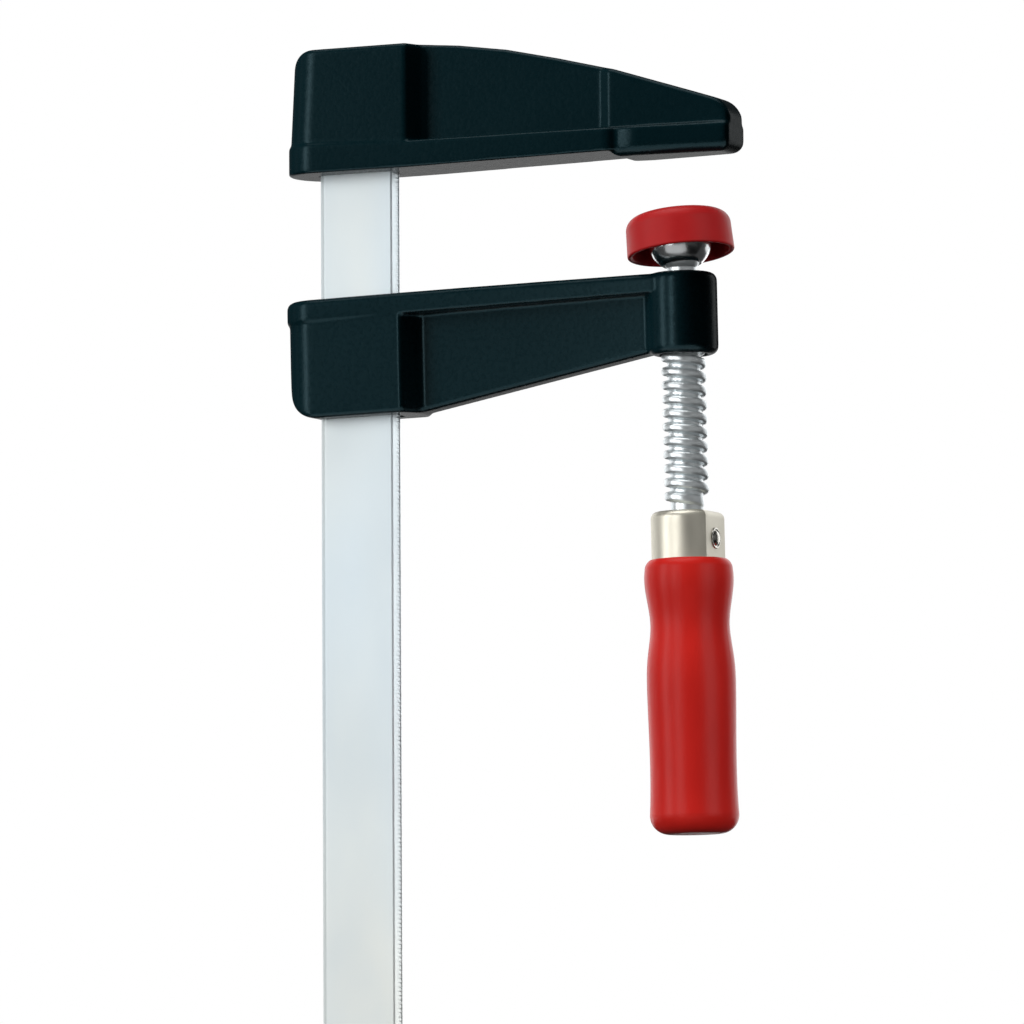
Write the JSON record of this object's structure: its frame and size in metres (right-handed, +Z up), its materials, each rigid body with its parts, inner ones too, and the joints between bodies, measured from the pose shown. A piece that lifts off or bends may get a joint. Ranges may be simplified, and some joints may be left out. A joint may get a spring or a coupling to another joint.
{
  "type": "f clamp",
  "caption": "Bar clamp with a fixed jaw on a flat steel rail, and a sliding jaw that carries a threaded spindle with a turned handle and a swivelling capped pressure pad.",
  "frame": {"origin": "centre of the fixed jaw's clamping face, over the spindle", "axes": "+Z up along the rail, from the sliding jaw to the fixed jaw; +X from the rail out to the jaw tips; +Y across the clamp, which is symmetric about Y = 0 apart from the tilted pad"},
  "size_m": [0.1214, 0.0264, 0.2894],
  "materials": {
    "zinc_steel": "bright zinc-plated flat bar, cold drawn, with rolled serrations on its inner edge",
    "spring_steel": "plain spring steel",
    "black_casting": "black semi-gloss stoved paint over a cast surface",
    "thread_steel": "bright rolled thread, lightly oiled",
    "ferrule_steel": "satin plated pressed steel",
    "red_wood": "turned hardwood under clear-coated red lacquer",
    "polished_steel": "polished pressed steel",
    "red_plastic": "soft red plastic, lightly satin"
  },
  "bodies": {
    "frame": {"rail": "zinc_steel", "end_stop_pin": "spring_steel", "fixed_jaw": "black_casting"},
    "slider": {"sliding_jaw": "black_casting"},
    "thrust_seat": {"ball_seat": "spring_steel"},
    "screw": {"spindle": "thread_steel", "ferrule": "ferrule_steel", "ferrule_pin": "ferrule_steel", "handle": "red_wood"},
    "pad": {"ball_socket": "polished_steel", "pressure_plate": "spring_steel"},
    "cap": {"pad_cap": "red_plastic"}
  },
  "joints": [
    {"name": "jaw_slide", "type": "slide", "parent": "frame", "child": "slider", "axis": [0, 0, 1], "range_m": [-0.186, 0.002]},
    {"name": "spindle_feed", "type": "slide", "parent": "slider", "child": "thrust_seat", "axis": [-0.0183, 0, 0.9998], "range_m": [-0.001, 0.01]},
    {"name": "spindle_turn", "type": "hinge", "parent": "thrust_seat", "child": "screw", "pos_m": [-0.0001, 0, -0.0244], "axis": [-0.0183, 0, 0.9998], "range_deg": [-107, 1060]},
    {"name": "pad_tilt", "type": "hinge", "parent": "thrust_seat", "child": "pad", "pos_m": [-0.0001, 0, -0.0244], "axis": [-0.4999, -0.866, -0.0092], "range_deg": [-17.2, 2.8]},
    {"name": "cap_spin", "type": "hinge", "parent": "pad", "child": "cap", "pos_m": [-0.0001, 0, -0.0244], "axis": [-0.1267, 0.0627, 0.99], "continuous": true}
  ],
  "couplings": [
    {"joint": "spindle_turn", "follows": "spindle_feed", "rad_per_m": 1848}
  ]
}
